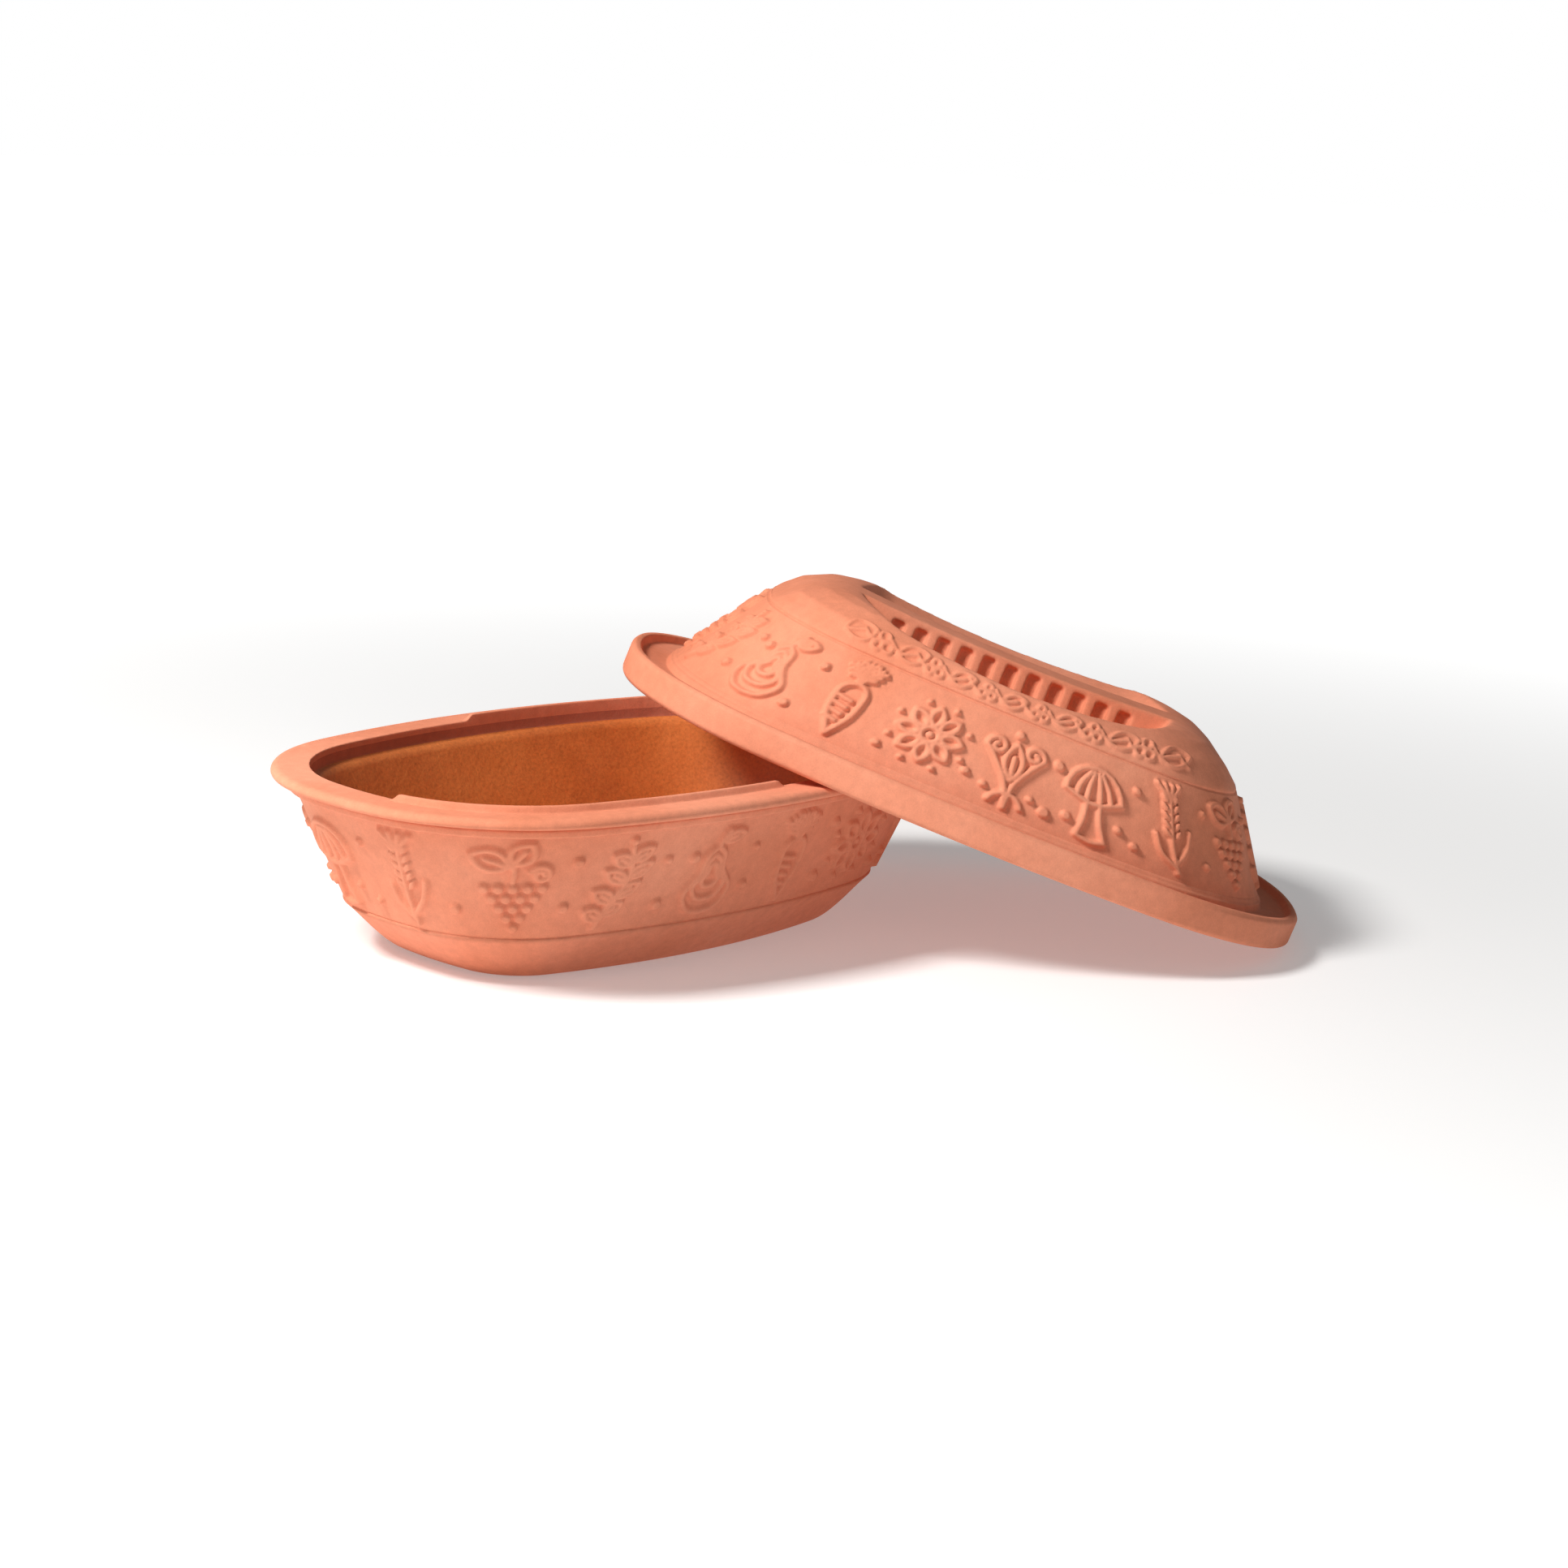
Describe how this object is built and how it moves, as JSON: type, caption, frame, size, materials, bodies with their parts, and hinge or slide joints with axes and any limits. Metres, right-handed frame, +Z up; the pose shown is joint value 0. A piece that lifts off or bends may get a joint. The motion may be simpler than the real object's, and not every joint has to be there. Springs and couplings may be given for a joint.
{
  "type": "clay roaster",
  "caption": "Covered clay roasting dish with catches on its rim and a hollow lid with finger troughs, lid taken off and leaning on the dish.",
  "frame": {"origin": "middle of the dish's foot, on the ground", "axes": "+X along the dish, towards the end where the lid leans, +Z up"},
  "size_m": [0.477, 0.3587, 0.166],
  "materials": {
    "dish_clay": "matt, with an amber glaze inside",
    "lid_clay": "matt"
  },
  "bodies": {
    "root": {"dish": "dish_clay", "lid": "lid_clay"}
  },
  "joints": []
}
